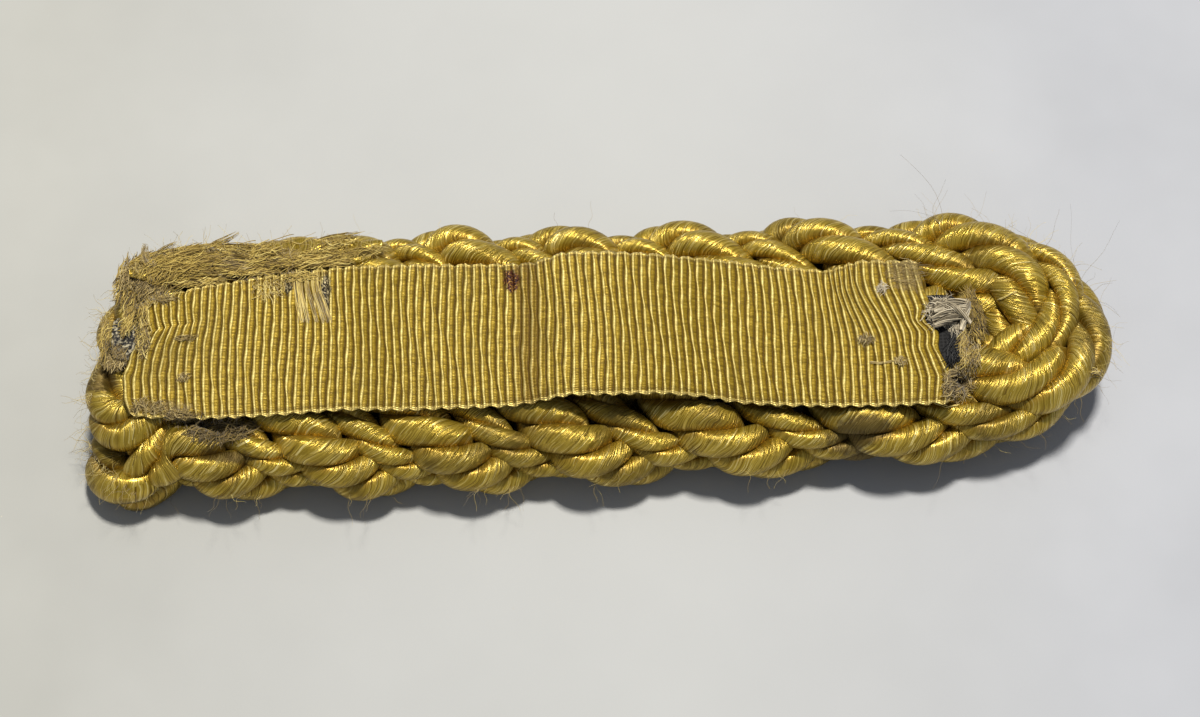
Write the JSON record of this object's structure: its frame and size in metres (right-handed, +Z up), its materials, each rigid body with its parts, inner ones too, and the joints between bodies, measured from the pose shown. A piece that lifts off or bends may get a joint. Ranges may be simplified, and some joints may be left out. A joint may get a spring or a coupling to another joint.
{
  "type": "plaited cord shoulder board",
  "caption": "Plaited shoulder board of wound gold cord bent into a round button end, lying reverse side up with its grosgrain strap, worn and frayed.",
  "frame": {"origin": "middle of the underside, on the surface the board lies on", "axes": "+X along the board from the shoulder end to the round button end, +Y across it, +Z up through the reverse side, which lies uppermost"},
  "size_m": [0.1338, 0.038, 0.0175],
  "materials": {
    "gold_cord": "satin",
    "gold_ribbon": "satin",
    "black_cloth": "matte",
    "grey_thread": "matte",
    "core_yarn": "matte"
  },
  "bodies": {
    "root": {"thick_cord_a": "gold_cord", "thick_cord_b": "gold_cord", "thin_cord_a": "gold_cord", "thin_cord_b": "gold_cord", "ribbon_strap": "gold_ribbon", "shoulder_end_cloth": "black_cloth", "button_end_cloth": "black_cloth", "bar_tack": "grey_thread", "frayed_core": "core_yarn"}
  },
  "joints": []
}
